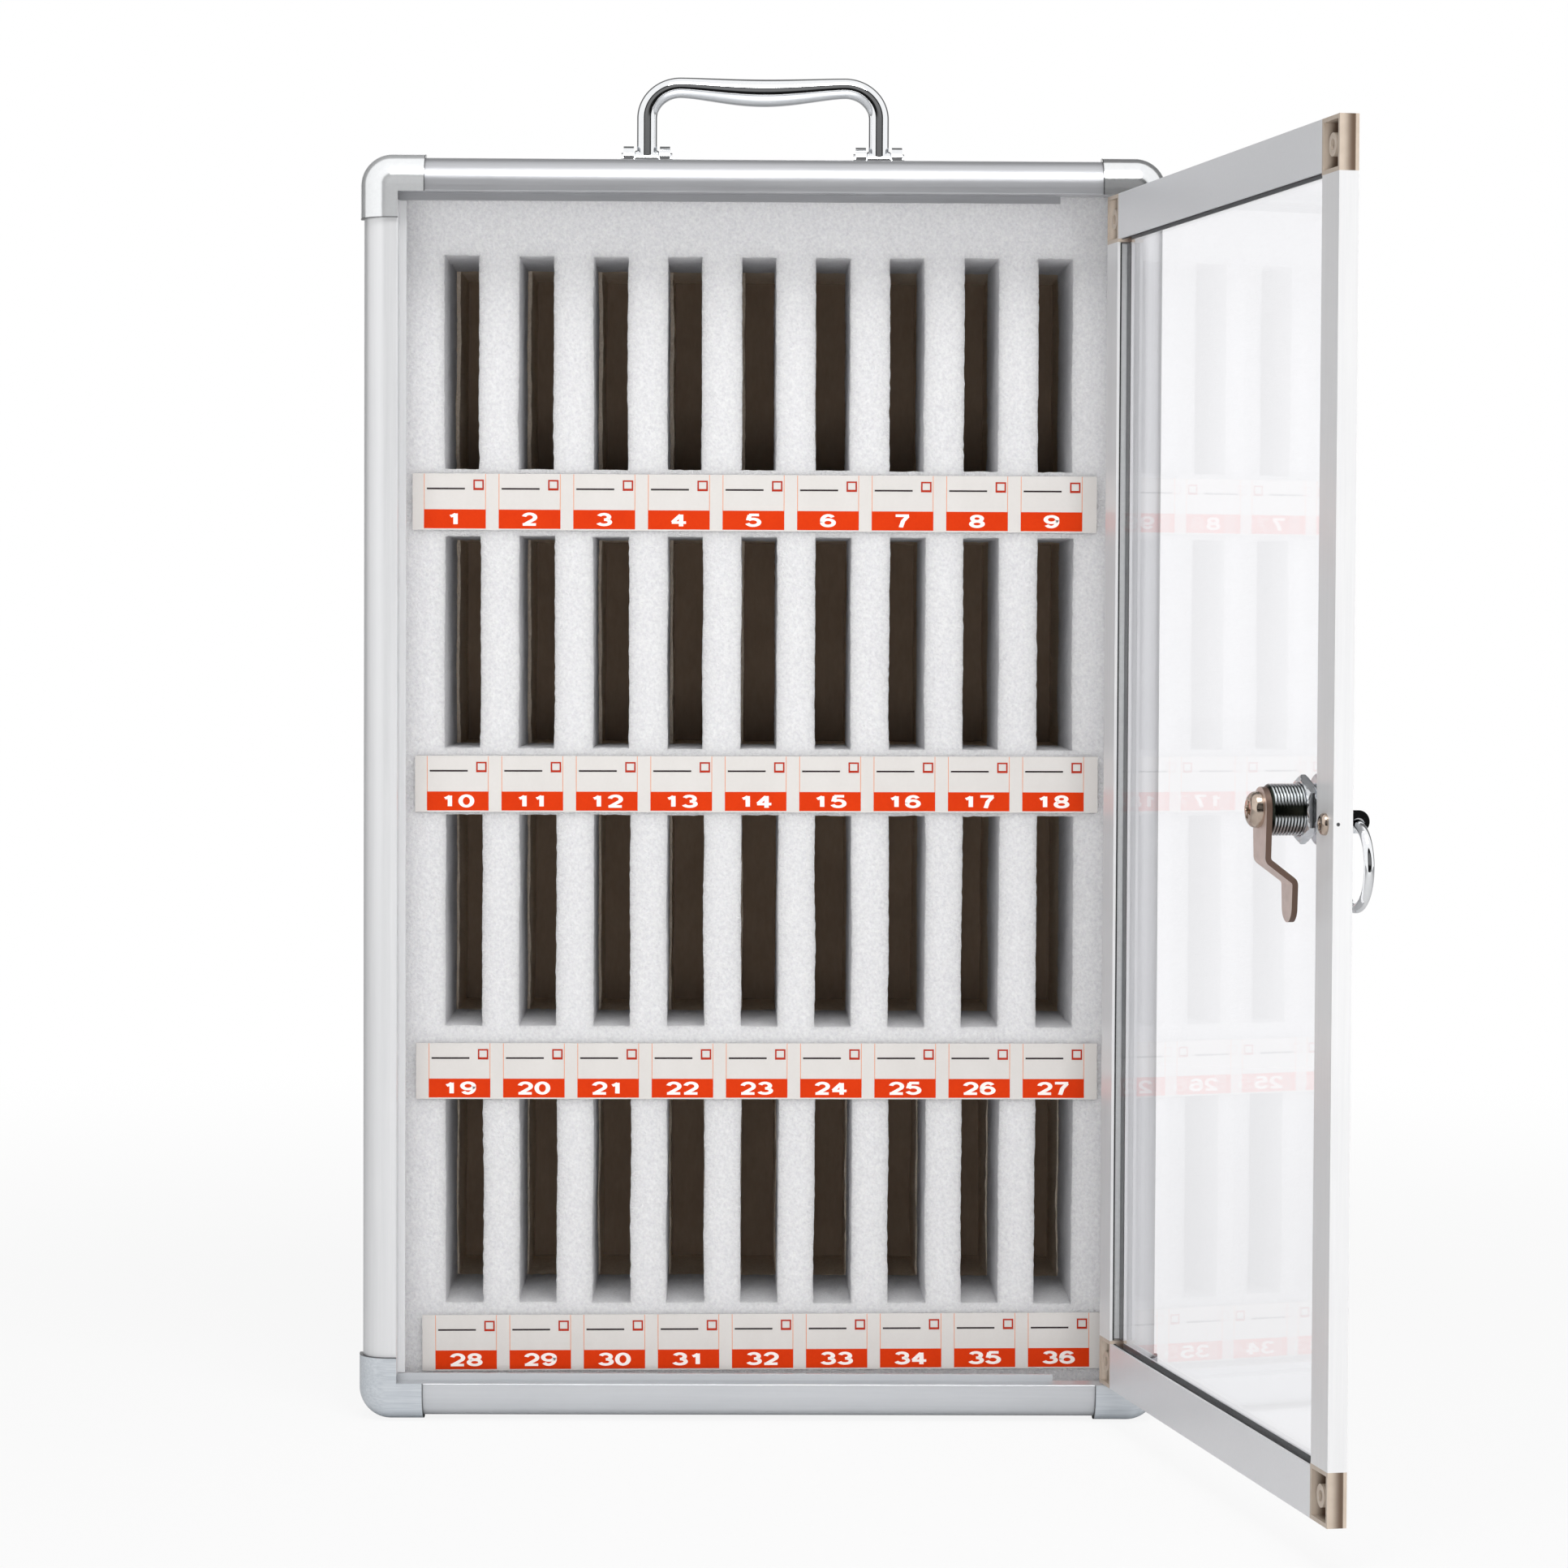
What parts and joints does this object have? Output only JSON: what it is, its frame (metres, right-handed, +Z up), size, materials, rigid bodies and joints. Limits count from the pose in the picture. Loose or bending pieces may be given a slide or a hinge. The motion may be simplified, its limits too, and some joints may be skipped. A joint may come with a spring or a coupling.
{
  "type": "cell phone locker box",
  "caption": "Upright aluminium-framed phone locker with a hinged clear door, cam lock, ring pull, folding carry handle and a slotted foam insert over numbered label strips.",
  "frame": {"origin": "centre of the base, on the surface that the case stands on", "axes": "+Z up along the case's height, -Y out of the door opening, +X to the right towards the hinge; the door is stored open, turned 100.5 degrees"},
  "size_m": [0.3163, 0.3966, 0.4765],
  "materials": {
    "frame_extrusion": "satin anodised",
    "door_extrusion": "satin anodised, a little darker",
    "case_panel": "thin fibreboard faced with silver foil",
    "cap_polished": "polished chrome",
    "cap_satin": "satin nickel",
    "brown_board": "dark brown hardboard",
    "white_foam": "matt white expanded foam with a fine grain",
    "grey_foam": "matt grey-brown foam",
    "label_paper": "off-white paper with orange-red bars",
    "steel": "bright steel",
    "chrome_plate": "bright chrome plate",
    "nickel_plate": "warm bright nickel",
    "cam_steel": "warm satin nickel",
    "block_plastic": "beige moulded plastic",
    "clear_pane": "clear acrylic sheet",
    "gasket_rubber": "black rubber channel"
  },
  "bodies": {
    "case": {"front_post_left": "frame_extrusion", "rear_post_left": "frame_extrusion", "depth_edge_left_bottom": "frame_extrusion", "depth_edge_left_top": "frame_extrusion", "side_panel_left": "case_panel", "front_post_right": "frame_extrusion", "rear_post_right": "frame_extrusion", "depth_edge_right_bottom": "frame_extrusion", "depth_edge_right_top": "frame_extrusion", "side_panel_right": "case_panel", "front_rail_bottom": "frame_extrusion", "rear_rail_bottom": "frame_extrusion", "bottom_panel": "case_panel", "front_rail_top": "frame_extrusion", "rear_rail_top": "frame_extrusion", "top_panel": "case_panel", "back_panel": "case_panel", "corner_cap_front_left_bottom": "cap_satin", "corner_cap_front_left_top": "cap_polished", "corner_cap_front_right_bottom": "cap_satin", "corner_cap_front_right_top": "cap_polished", "corner_cap_rear_left_bottom": "cap_satin", "corner_cap_rear_left_top": "cap_polished", "corner_cap_rear_right_bottom": "cap_satin", "corner_cap_rear_right_top": "cap_polished", "backing_board": "brown_board", "foam_front": "white_foam", "foam_rear": "grey_foam", "label_strip_1": "label_paper", "label_strip_2": "label_paper", "label_strip_3": "label_paper", "label_strip_4": "label_paper", "pivot_pins": "steel", "pivot_washers": "steel", "handle_bracket_left": "chrome_plate", "handle_bracket_right": "chrome_plate", "handle_pins": "chrome_plate", "bracket_rivets": "chrome_plate"},
    "door": {"door_stile_hinge": "door_extrusion", "door_stile_lock": "door_extrusion", "door_rail_bottom": "door_extrusion", "door_rail_top": "door_extrusion", "door_block_hinge_bottom": "block_plastic", "door_block_hinge_top": "block_plastic", "door_block_lock_bottom": "block_plastic", "door_block_lock_top": "block_plastic", "door_pane": "clear_pane", "pane_gasket": "gasket_rubber", "lock_body": "chrome_plate", "lock_nut": "chrome_plate", "ring_eye": "chrome_plate", "ring_screw": "nickel_plate"},
    "lock_plug": {"lock_plug": "chrome_plate", "lock_cam": "cam_steel", "cam_washer": "cam_steel", "cam_screw": "nickel_plate"},
    "ring": {"pull_ring": "chrome_plate"},
    "handle": {"carry_handle": "chrome_plate"}
  },
  "joints": [
    {"name": "door_hinge", "type": "hinge", "parent": "case", "child": "door", "pos_m": [0.1223, -0.0713, 0.22], "axis": [0, 0, 1], "range_deg": [-100.5, 2]},
    {"name": "lock_turn", "type": "hinge", "parent": "door", "child": "lock_plug", "pos_m": [0.16245, -0.28791, 0.2239], "axis": [-0.9833, -0.1822, 0], "range_deg": [0, 90]},
    {"name": "ring_swing", "type": "hinge", "parent": "door", "child": "ring", "pos_m": [0.17248, -0.30695, 0.2204], "axis": [0.1822, -0.9833, 0], "range_deg": [-3, 180]},
    {"name": "handle_fold", "type": "hinge", "parent": "case", "child": "handle", "pos_m": [0, 0, 0.446], "axis": [1, 0, 0], "range_deg": [-88, 88]}
  ]
}
